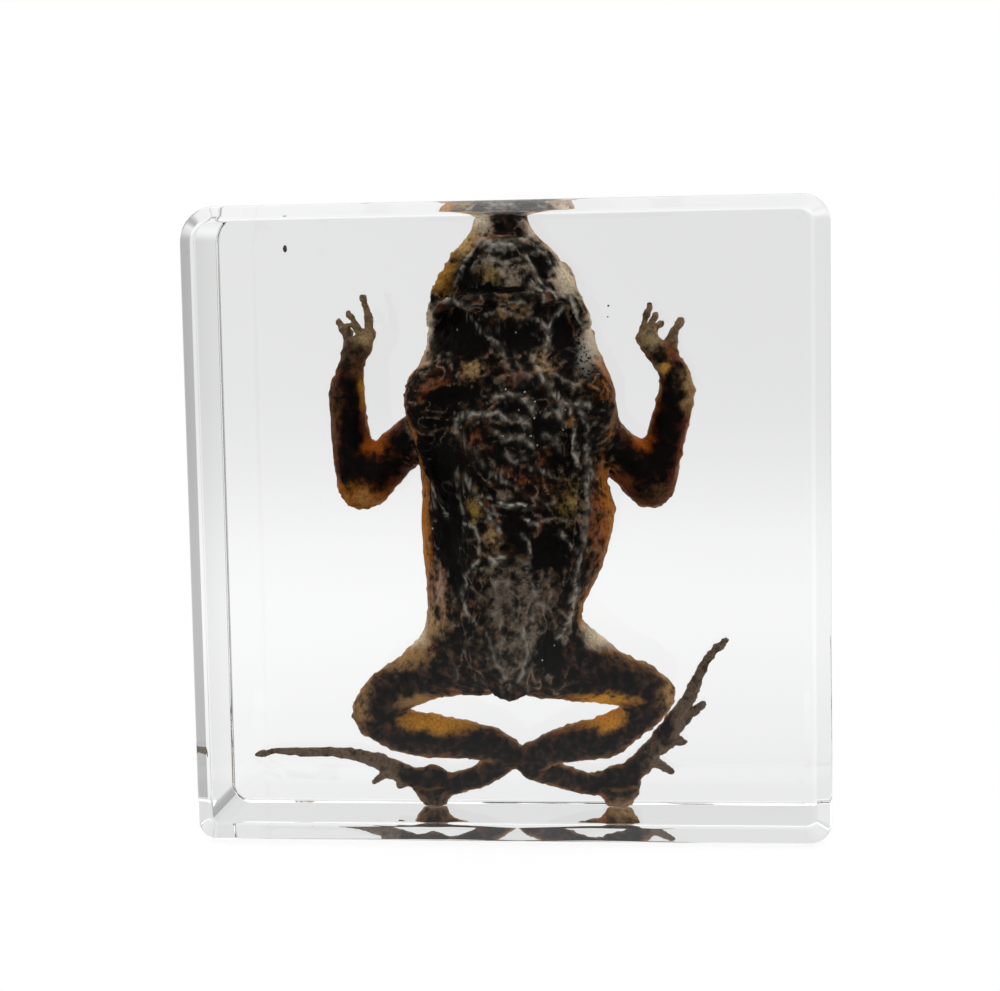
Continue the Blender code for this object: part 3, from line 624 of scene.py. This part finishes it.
# Hollows are painted black as painted shade; fold crests get more tint and a pale painted highlight
MOST_COVER = 1.4
cover = np.clip(cover - 0.9 * hollow, 0.0, MOST_COVER)
tints = blend_to(tints, BLACK, hollow * 0.8)
lifted = 0.30 * (folds - 0.35) + 0.16 * (fine_folds - 0.3) + 0.10 * uneven
cover = np.clip(cover + lifted * (0.35 + 0.65 * on_belly), 0.0, MOST_COVER)
lit_folds = ramp(0.55, 0.95, folds) * ramp(0.42, 0.62, mottle) * (1.0 - hollow)
pale = np.maximum(pale, 0.30 * on_belly * lit_folds)
pitted = zone(*PITTED)


def store(mesh, name, values):
    """Keeps a number or a colour at each point of the mesh, for its material."""
    if values.ndim == 1:
        attribute = mesh.attributes.new(name, "FLOAT", "POINT")
        attribute.data.foreach_set("value", values.astype(np.float32))
    else:
        attribute = mesh.attributes.new(name, "FLOAT_COLOR", "POINT")
        rgba = np.ones((len(values), 4), np.float32)
        rgba[:, :3] = values
        attribute.data.foreach_set("color", rgba.ravel())


store(toad.data, "tint", np.clip(tints, 0.0, 1.0))
contrast = 1.4 + 0.6 * on_belly + 0.4 * legs
store(toad.data, "cover", cover + 1.0 - contrast / 2)
store(toad.data, "contrast", contrast)
store(toad.data, "pale", np.clip(pale, 0.0, 1.0))
store(toad.data, "pitted", pitted)


def feed(tree, socket, value):
    """Sets a socket to a fixed value, or links it where the value is another socket."""
    if isinstance(value, bpy.types.NodeSocket):
        tree.links.new(value, socket)
    else:
        socket.default_value = value


def new_node(tree, kind, **settings):
    """A node with its settings. A setting that names one of its sockets, with _ for a space, feeds it."""
    node = tree.nodes.new(kind)
    for name, value in settings.items():
        if hasattr(node, name):
            setattr(node, name, value)
        else:
            feed(tree, node.inputs[name.replace("_", " ")], value)
    return node


def new_texture(tree, kind, **settings):
    """A texture in the piece's own coordinates."""
    own = new_node(tree, "ShaderNodeTexCoord").outputs["Object"]
    return new_node(tree, kind, Vector=own, **settings)


def step_between(tree, value, low, high, bottom=0.0, top=1.0):
    """The value's smooth step from bottom to top between two levels."""
    step = new_node(
        tree,
        "ShaderNodeMapRange",
        interpolation_type="SMOOTHSTEP",
        Value=value,
        From_Min=low,
        From_Max=high,
        To_Min=bottom,
        To_Max=top,
    )
    return step.outputs["Result"]


def calculate(tree, operation, first, second, **settings):
    """A Math node of two values, each a socket or a number."""
    node = new_node(tree, "ShaderNodeMath", operation=operation, **settings)
    for socket, value in zip(node.inputs, (first, second)):
        feed(tree, socket, value)
    return node.outputs["Value"]


def mix(tree, share, first, second, kind="FLOAT"):
    """The first value where the share is 0 and the second where it is 1, each a socket or fixed."""
    node = new_node(tree, "ShaderNodeMix", data_type=kind, Factor=share, A=first, B=second)
    return node.outputs["Result"]


def new_material(name, **settings):
    """A material, its node tree and its surface, whose sockets the settings feed by name."""
    material = bpy.data.materials.new(name)
    material.use_nodes = True
    surface = material.node_tree.nodes["Principled BSDF"]
    for socket, value in settings.items():
        feed(material.node_tree, surface.inputs[socket.replace("_", " ")], value)
    return material, material.node_tree, surface


# Textures are scaled per metre. Patches of tint break up the black, and the grain makes them uneven.
PATCH_SCALE = 900.0
GRAIN_SCALE = 3200.0
PIT_SCALE = 2300.0
# The threads, fold crests and pits are painted a pale silvery colour, a painted sheen, with a little
# metallic shine
SHEEN_PAINT = (0.62, 0.56, 0.47, 1.0)
SHEEN_METALLIC = 0.15
PIT_SHEEN = 0.6
LEAST_SHOWN = 1.32
WHOLLY_SHOWN = 2.0
GRAIN_IN_BUMP = 0.4
skin, tree, surface = new_material("dried_skin", Specular_IOR_Level=0.03)
marks = {
    name: new_node(tree, "ShaderNodeAttribute", attribute_name=name).outputs
    for name in ("tint", "cover", "contrast", "pale", "pitted")
}
patch_noise = new_texture(
    tree, "ShaderNodeTexNoise", Scale=PATCH_SCALE, Detail=5.0, Roughness=0.6, Distortion=0.2
)
patches = patch_noise.outputs["Fac"]
grain_noise = new_texture(tree, "ShaderNodeTexNoise", Scale=GRAIN_SCALE, Detail=3.0, Roughness=0.6)
grain = grain_noise.outputs["Fac"]
pits = new_texture(tree, "ShaderNodeTexVoronoi", Scale=PIT_SCALE).outputs["Distance"]
varied = calculate(tree, "MULTIPLY", patches, marks["contrast"]["Fac"])
shifted = calculate(tree, "ADD", varied, marks["cover"]["Fac"])
shown = calculate(tree, "POWER", step_between(tree, shifted, LEAST_SHOWN, WHOLLY_SHOWN), 1.6)
brightness = step_between(tree, grain, 0.30, 0.70, 0.72, 1.28)
tinted = new_node(
    tree, "ShaderNodeVectorMath", operation="SCALE", Vector=marks["tint"]["Color"], Scale=brightness
)
mixed = mix(tree, shown, (*BLACK, 1.0), tinted.outputs["Vector"], "RGBA")
# Painted sheen: the pale threads and pits are mixed over the tint as a painted highlight
thread_grain = step_between(tree, grain, 0.25, 0.65, 0.6, 1.0)
thread = calculate(tree, "MULTIPLY", marks["pale"]["Fac"], thread_grain)
pitting = calculate(tree, "MULTIPLY", step_between(tree, pits, 0.30, 0.55), marks["pitted"]["Fac"])
pit_sheen = calculate(tree, "MULTIPLY", pitting, PIT_SHEEN)
painted_sheen = calculate(tree, "MAXIMUM", thread, pit_sheen, use_clamp=True)
lumps = calculate(tree, "ADD", patches, calculate(tree, "MULTIPLY", grain, GRAIN_IN_BUMP))
bump = new_node(tree, "ShaderNodeBump", Strength=0.7, Distance=0.25 * MM, Height=lumps)
feed(tree, surface.inputs["Base Color"], mix(tree, painted_sheen, mixed, SHEEN_PAINT, "RGBA"))
feed(tree, surface.inputs["Metallic"], calculate(tree, "MULTIPLY", painted_sheen, SHEEN_METALLIC))
feed(tree, surface.inputs["Roughness"], step_between(tree, grain, 0.3, 0.7, 0.30, 0.55))
feed(tree, surface.inputs["Normal"], bump.outputs["Normal"])
toad.data.materials.clear()
toad.data.materials.append(skin)
toad.data.shade_smooth()
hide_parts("toad")
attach(toad, "root")

# The stray flakes
# Three crumbs of dark dried skin that came off the animal and were cast in with it. Each is a rough,
# flattened lump in the front half of the resin. (X, Y, Z) of the middle and half sizes, in mm.
FLAKE_ROUGHNESS = 0.45
FLAKE_DARK = (0.05, 0.035, 0.025, 1.0)
FLAKE_PALE = (0.16, 0.12, 0.09, 1.0)
FLAKE_SPECKS = 4000.0
FLAKES = (
    ((-26.6, -1.5, 70.0), (0.24, 0.12, 0.42)),
    ((11.9, -1.5, 62.6), (0.13, 0.08, 0.11)),
    ((11.8, -1.5, 61.3), (0.10, 0.08, 0.09)),
)
crumbs = bmesh.new()
for middle, half_sizes in FLAKES:
    made = bmesh.ops.create_icosphere(crumbs, subdivisions=3, radius=1.0)
    for vert in made["verts"]:
        rough = vert.co * (1.0 + FLAKE_ROUGHNESS * noise.noise(vert.co * 1.7 + Vector(middle)))
        vert.co = (Vector(middle) + rough * Vector(half_sizes)) * MM
dark_crumb, tree, surface = new_material("dark_crumb", Roughness=0.8)
specks = new_texture(tree, "ShaderNodeTexNoise", Scale=FLAKE_SPECKS, Detail=3.0).outputs["Fac"]
speckled = mix(tree, step_between(tree, specks, 0.4, 0.6), FLAKE_DARK, FLAKE_PALE, "RGBA")
feed(tree, surface.inputs["Base Color"], speckled)
flakes = piece_from(crumbs, "stray_flakes", dark_crumb)
flakes.data.shade_smooth()
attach(flakes, "root")

# The air bubbles
# Small bubbles that stayed on the belly when the resin was poured. Through the resin they look silvery.
# Each is set against the skin at its X and Z, partly sunk in, with its radius, all in mm.
BUBBLE_START = -12.0
BUBBLE_LIFT = 0.7
BUBBLE_SILVER = (0.55, 0.54, 0.52, 1.0)
BUBBLE_WRINKLES = 6000.0
BUBBLES = (
    (-1.7, 30.4, 0.11),
    (-0.1, 53.1, 0.12),
    (2.1, 52.7, 0.14),
    (3.3, 51.6, 0.12),
    (1.4, 50.6, 0.10),
    (3.2, 49.7, 0.13),
    (-0.6, 50.0, 0.10),
    (2.8, 47.6, 0.12),
    (3.5, 46.5, 0.11),
    (-0.5, 47.6, 0.11),
    (6.5, 48.2, 0.10),
    (6.8, 50.5, 0.09),
    (-5.9, 60.1, 0.10),
    (-9.3, 36.4, 0.12),
    (1.1, 59.7, 0.10),
    (3.5, 20.7, 0.12),
    (5.0, 22.4, 0.09),
)
bpy.context.view_layer.update()
air = bmesh.new()
for sideways, up, radius in BUBBLES:
    start = Vector((sideways, BUBBLE_START, up)) * MM
    found, skin_place, skin_normal, _ = toad.ray_cast(start, (0, 1, 0))
    if found:
        place = Matrix.Translation(skin_place + skin_normal * radius * BUBBLE_LIFT * MM)
        bmesh.ops.create_icosphere(air, subdivisions=3, radius=radius * MM, matrix=place)
silver, tree, surface = new_material("trapped_air", Base_Color=BUBBLE_SILVER, Metallic=0.85)
wrinkles = new_texture(tree, "ShaderNodeTexNoise", Scale=BUBBLE_WRINKLES, Detail=2.0).outputs["Fac"]
feed(tree, surface.inputs["Roughness"], step_between(tree, wrinkles, 0.3, 0.7, 0.15, 0.40))
bubbles = piece_from(air, "air_bubbles", silver)
bubbles.data.shade_smooth()
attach(bubbles, "root")

# The resin block
# One casting of clear polyester resin, cut square and polished, its corners rounded by hand and the rims of
# its two large faces sloped. It is whole here, where the CAD model parts it round the animal.
TOP_LEFT_RADIUS = 4.2 * MM
TOP_RIGHT_RADIUS = 3.2 * MM
FOOT_LEFT_RADIUS = 2.4 * MM
FOOT_RIGHT_RADIUS = 2.6 * MM
CORNER_STEPS = 16
FRONT_SETBACK = 2.1 * MM
FRONT_WIDTHS = (2.0 * MM, 2.1 * MM, 2.5 * MM, 1.5 * MM)
FRONT_CREASE = 0.45 * MM
BACK_SETBACK = 0.2 * MM
BACK_WIDTHS = (0.2 * MM, 0.2 * MM, 0.2 * MM, 0.2 * MM)
BACK_CREASE = 0.06 * MM
CREASE_STEPS = 6
RESIN_IOR = 1.5
RESIN_COLOUR = (0.90, 0.96, 0.93, 1.0)
RESIN_DENSITY = 4.0
WHITE = (1.0, 1.0, 1.0, 1.0)
low, high = cad_box
width, depth, height = high - low


def near(value, level):
    return abs(value - level) < MM / 100


def ease(bm, edges, radius, steps):
    """Rounds the edges."""
    bmesh.ops.bevel(
        bm,
        geom=edges,
        offset=radius,
        offset_type="OFFSET",
        segments=steps,
        profile=0.5,
        affect="EDGES",
        material=-1,
    )


def large_face(bm, plane):
    """The largest face at this depth."""
    level = [face for face in bm.faces if near(face.calc_center_median().y, plane)]
    return max(level, key=lambda face: face.calc_area())


def slope_rim(bm, plane, setback, widths):
    """Slopes the rim of a large face, by a width of its own on the left, right, lower and upper side."""
    left, right, lower, upper = widths
    start = min(widths)
    bmesh.ops.inset_region(bm, faces=[large_face(bm, plane)], thickness=start, use_even_offset=True)
    inner = set(large_face(bm, plane).verts)
    for vert in bm.verts:
        if vert not in inner and near(vert.co.y, plane):
            vert.co.y -= math.copysign(setback, plane)
    for vert in inner:
        across = (vert.co.x - low.x - start) / (width - 2 * start)
        up = (vert.co.z - low.z - start) / (height - 2 * start)
        vert.co.x = low.x + left + across * (width - left - right)
        vert.co.z = low.z + lower + up * (height - lower - upper)


clear = bmesh.new()
middle = (low + high) / 2
sizes = Matrix.Diagonal((width, depth, height, 1.0))
bmesh.ops.create_cube(clear, size=1.0, matrix=Matrix.Translation(middle) @ sizes)
corners = (
    (low.x, high.z, TOP_LEFT_RADIUS),
    (high.x, high.z, TOP_RIGHT_RADIUS),
    (low.x, low.z, FOOT_LEFT_RADIUS),
    (high.x, low.z, FOOT_RIGHT_RADIUS),
)
for sideways, up, radius in corners:
    corner = [
        edge
        for edge in clear.edges
        if all(near(vert.co.x, sideways) and near(vert.co.z, up) for vert in edge.verts)
    ]
    ease(clear, corner, radius, CORNER_STEPS)
slope_rim(clear, low.y, FRONT_SETBACK, FRONT_WIDTHS)
slope_rim(clear, high.y, BACK_SETBACK, BACK_WIDTHS)
creases = (
    (low.y, FRONT_CREASE),
    (low.y + FRONT_SETBACK, FRONT_CREASE),
    (high.y, BACK_CREASE),
    (high.y - BACK_SETBACK, BACK_CREASE),
)
for plane, radius in creases:
    rim = [edge for edge in clear.edges if all(near(vert.co.y, plane) for vert in edge.verts)]
    ease(clear, rim, radius, CREASE_STEPS)
bmesh.ops.recalc_face_normals(clear, faces=clear.faces)

resin, tree, _ = new_material(
    "clear_resin", Base_Color=WHITE, Transmission_Weight=1.0, IOR=RESIN_IOR, Roughness=0.0
)
body = new_node(tree, "ShaderNodeVolumeAbsorption", Density=RESIN_DENSITY, Color=RESIN_COLOUR)
feed(tree, tree.nodes["Material Output"].inputs["Volume"], body.outputs["Volume"])
block = piece_from(clear, "resin_block", resin)
block.data.shade_smooth()
level_faces = block.modifiers.new("Keep the flat faces flat", "WEIGHTED_NORMAL")
level_faces.mode = "FACE_AREA"
level_faces.weight = 100
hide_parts("resin_front", "resin_back")
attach(block, "root")

# The floor and the light
# A small white table in a white tent, lit softly from below too. The tent is dark towards the camera, so
# that the front face holds no glare, and its far wall grows greyer with height, as the clear resin shows.
FLOOR_MIDDLE = Vector((0.0, -3.0, -0.2)) * MM
FLOOR_HALF_WIDTH = 42.0 * MM
FLOOR_HALF_DEPTH = 21.5 * MM
FLOOR_GREY = (0.15, 0.15, 0.15, 1.0)
FLOOR_GLOW = 0.85
floor_shape = bmesh.new()
floor_sizes = Matrix.Diagonal((FLOOR_HALF_WIDTH, FLOOR_HALF_DEPTH, 1.0, 1.0))
bmesh.ops.create_grid(
    floor_shape,
    x_segments=1,
    y_segments=1,
    size=1.0,
    matrix=Matrix.Translation(FLOOR_MIDDLE) @ floor_sizes,
)
paint, _, _ = new_material(
    "white_table",
    Base_Color=FLOOR_GREY,
    Roughness=0.9,
    Specular_IOR_Level=0.1,
    Emission_Color=WHITE,
    Emission_Strength=FLOOR_GLOW,
)
floor = piece_from(floor_shape, "floor", paint)

# Pairs of (share of the way from one end of an axis to the other, strength). The tent's light goes from
# straight down to straight up, and so does what the clear resin shows of its far wall.
TENT_LIGHT = ((0.0, 0.9), (0.5, 0.9), (0.75, 1.5), (1.0, 1.9))
TENT_SEEN = (
    (0.0, 0.8),
    (0.27, 0.84),
    (0.36, 0.91),
    (0.3847, 0.87),
    (0.3944, 0.93),
    (0.4032, 0.955),
    (0.4166, 1.0),
    (0.4256, 1.01),
    (0.439, 0.982),
    (0.448, 0.927),
    (0.4572, 0.88),
    (0.4707, 0.836),
    (0.4934, 0.823),
    (0.52, 0.818),
    (0.59, 0.76),
    (0.72, 0.78),
    (1.0, 0.95),
)
# From straight left to straight right
TENT_SEEN_SIDES = (
    (0.0, 0.9),
    (0.29, 0.9),
    (0.39, 1.0),
    (0.5, 0.965),
    (0.61, 0.96),
    (0.645, 0.46),
    (1.0, 0.7),
)
# From straight to the front to straight to the back
TENT_FRONT = ((0.0, 0.01), (0.035, 0.01), (0.10, 0.5), (0.35, 1.0), (1.0, 1.0))
LIGHT_LIMIT = 2.0
# A grey screen low on the right darkens what the resin shows there: from where to where, and how dark
SCREEN_RIGHT = (0.05, 0.16)
SCREEN_DOWN = (-0.24, -0.34)
SCREEN_SHADE = 0.6
# A little above the block both sides of the wall are almost as light as its middle
SIDES_ABOVE = (0.06, 0.15)
SIDES_LEAST = 0.92
# Low in front, and off the block's inner faces, the light isn't held back
FOREGROUND_DOWN = (-0.11, -0.24)
FOREGROUND_LIGHT = 0.45
INNER_LIGHT = 0.9
FAR_WALL = (0.78, 0.92)
MOST_BOUNCES = 16
MOST_MIRRORINGS = 10
world = bpy.data.worlds.new("studio")
bpy.context.scene.world = world
world.use_nodes = True
sky = world.node_tree
direction = new_node(sky, "ShaderNodeTexCoord").outputs["Generated"]
toward = new_node(sky, "ShaderNodeSeparateXYZ", Vector=direction).outputs


def light_along(axis, levels):
    """A strength that follows one axis of the direction, from (share of the way, strength) pairs."""
    share = new_node(sky, "ShaderNodeMapRange", Value=toward[axis], From_Min=-1.0).outputs["Result"]
    wall = new_node(sky, "ShaderNodeValToRGB", Fac=share)
    stops = wall.color_ramp.elements
    while len(stops) < len(levels):
        stops.new(0.5)
    for stop, (position, strength) in zip(stops, levels):
        stop.position = position
        stop.color = (*[strength / LIGHT_LIMIT] * 3, 1.0)
    return calculate(sky, "MULTIPLY", wall.outputs["Color"], LIGHT_LIMIT)


# What a ray meets that came through the resin without a bounce: the far wall by height and side
screen_side = step_between(sky, toward["X"], *SCREEN_RIGHT, 0.0, SCREEN_SHADE)
screen = calculate(sky, "MULTIPLY", screen_side, step_between(sky, toward["Z"], *SCREEN_DOWN))
above = step_between(sky, toward["Z"], *SIDES_ABOVE, 0.0, SIDES_LEAST)
side_light = calculate(sky, "MAXIMUM", light_along("X", TENT_SEEN_SIDES), above)
seen_sides = calculate(sky, "MULTIPLY", side_light, calculate(sky, "SUBTRACT", 1.0, screen))
seen = calculate(sky, "MULTIPLY", light_along("Z", TENT_SEEN), seen_sides)
# What a bounced ray meets: the tent's light, dark to the front, with the same far wall
way = new_node(sky, "ShaderNodeLightPath").outputs
mirrored = calculate(sky, "GREATER_THAN", way["Glossy Depth"], 0.5)
came_out = calculate(sky, "GREATER_THAN", way["Transmission Depth"], 1.5)
inner = calculate(sky, "MULTIPLY", calculate(sky, "MULTIPLY", mirrored, came_out), INNER_LIGHT)
foreground = step_between(sky, toward["Z"], *FOREGROUND_DOWN, 0.0, FOREGROUND_LIGHT)
open_front = calculate(sky, "MAXIMUM", light_along("Y", TENT_FRONT), foreground)
frontal = calculate(sky, "MAXIMUM", open_front, inner)
shaded = calculate(sky, "MULTIPLY", light_along("Z", TENT_LIGHT), frontal)
around = mix(sky, step_between(sky, toward["Y"], *FAR_WALL), shaded, seen)
bounces = calculate(sky, "ADD", way["Diffuse Depth"], way["Glossy Depth"])
through = mix(sky, calculate(sky, "GREATER_THAN", bounces, 0.5), seen, around)
# What the camera sees directly is plain white
backdrop = sky.nodes["Background"]
feed(sky, backdrop.inputs["Strength"], mix(sky, way["Is Camera Ray"], through, 1.0))
feed(sky, backdrop.inputs["Color"], WHITE)
bpy.context.scene.cycles.max_bounces = MOST_BOUNCES
bpy.context.scene.cycles.glossy_bounces = MOST_MIRRORINGS

# The camera
# In front of the block and a little to its right, looking slightly down, as the photograph does.
CAMERA_PLACE = Vector((26.0, -266.4, 66.9)) * MM
YAW = math.radians(6.01)
PITCH = math.radians(5.83)
ROLL = math.radians(-1.06)
LENS = 79.13
camera = bpy.data.objects.new("camera", bpy.data.cameras.new("camera"))
bpy.context.scene.collection.objects.link(camera)
camera.data.lens = LENS
turned = Matrix.Rotation(YAW, 4, "Z") @ Matrix.Rotation(math.pi / 2 - PITCH, 4, "X")
camera.matrix_world = Matrix.Translation(CAMERA_PLACE) @ turned @ Matrix.Rotation(ROLL, 4, "Z")
bpy.context.scene.camera = camera
bpy.context.scene.view_settings.view_transform = "Standard"
